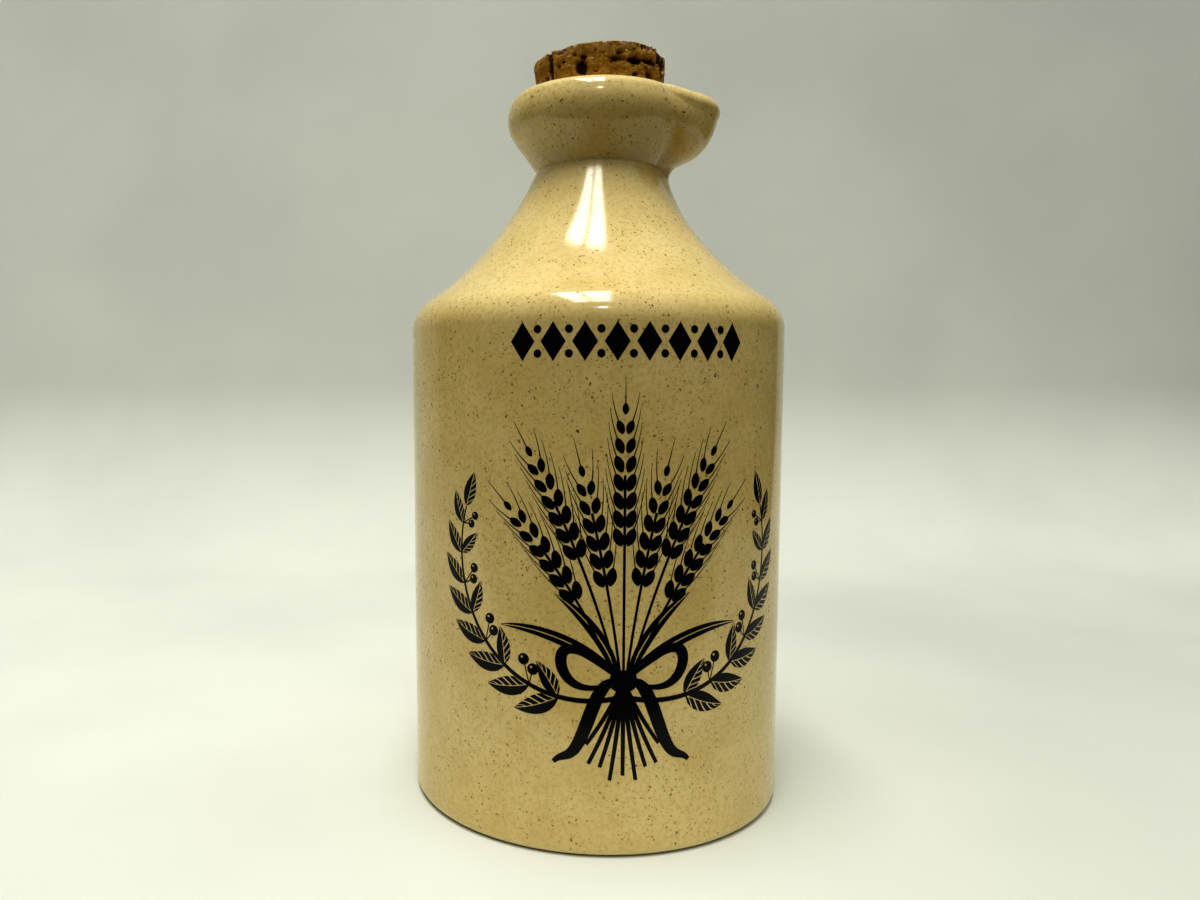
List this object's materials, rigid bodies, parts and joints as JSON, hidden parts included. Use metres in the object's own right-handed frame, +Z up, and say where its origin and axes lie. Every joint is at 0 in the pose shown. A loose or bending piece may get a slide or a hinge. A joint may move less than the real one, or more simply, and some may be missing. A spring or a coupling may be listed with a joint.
{
  "type": "stoneware vinegar cruet",
  "caption": "Shouldered stoneware cruet for vinegar with a waisted neck, a rolled collar, a side pouring spout and a tapered cork in its mouth.",
  "frame": {"origin": "centre of the foot ring, on the surface that the cruet stands on", "axes": "+Z up along the bottle's axis, +X towards the pouring spout, -Y towards the printed front"},
  "size_m": [0.0902, 0.0902, 0.1777],
  "materials": {
    "stoneware_glaze": "glossy clear glaze over speckled buff stoneware",
    "natural_cork": "dry natural cork with pits and chips",
    "black_print": "glossy black fired print"
  },
  "bodies": {
    "root": {"bottle": "stoneware_glaze", "cork": "natural_cork"}
  },
  "joints": []
}
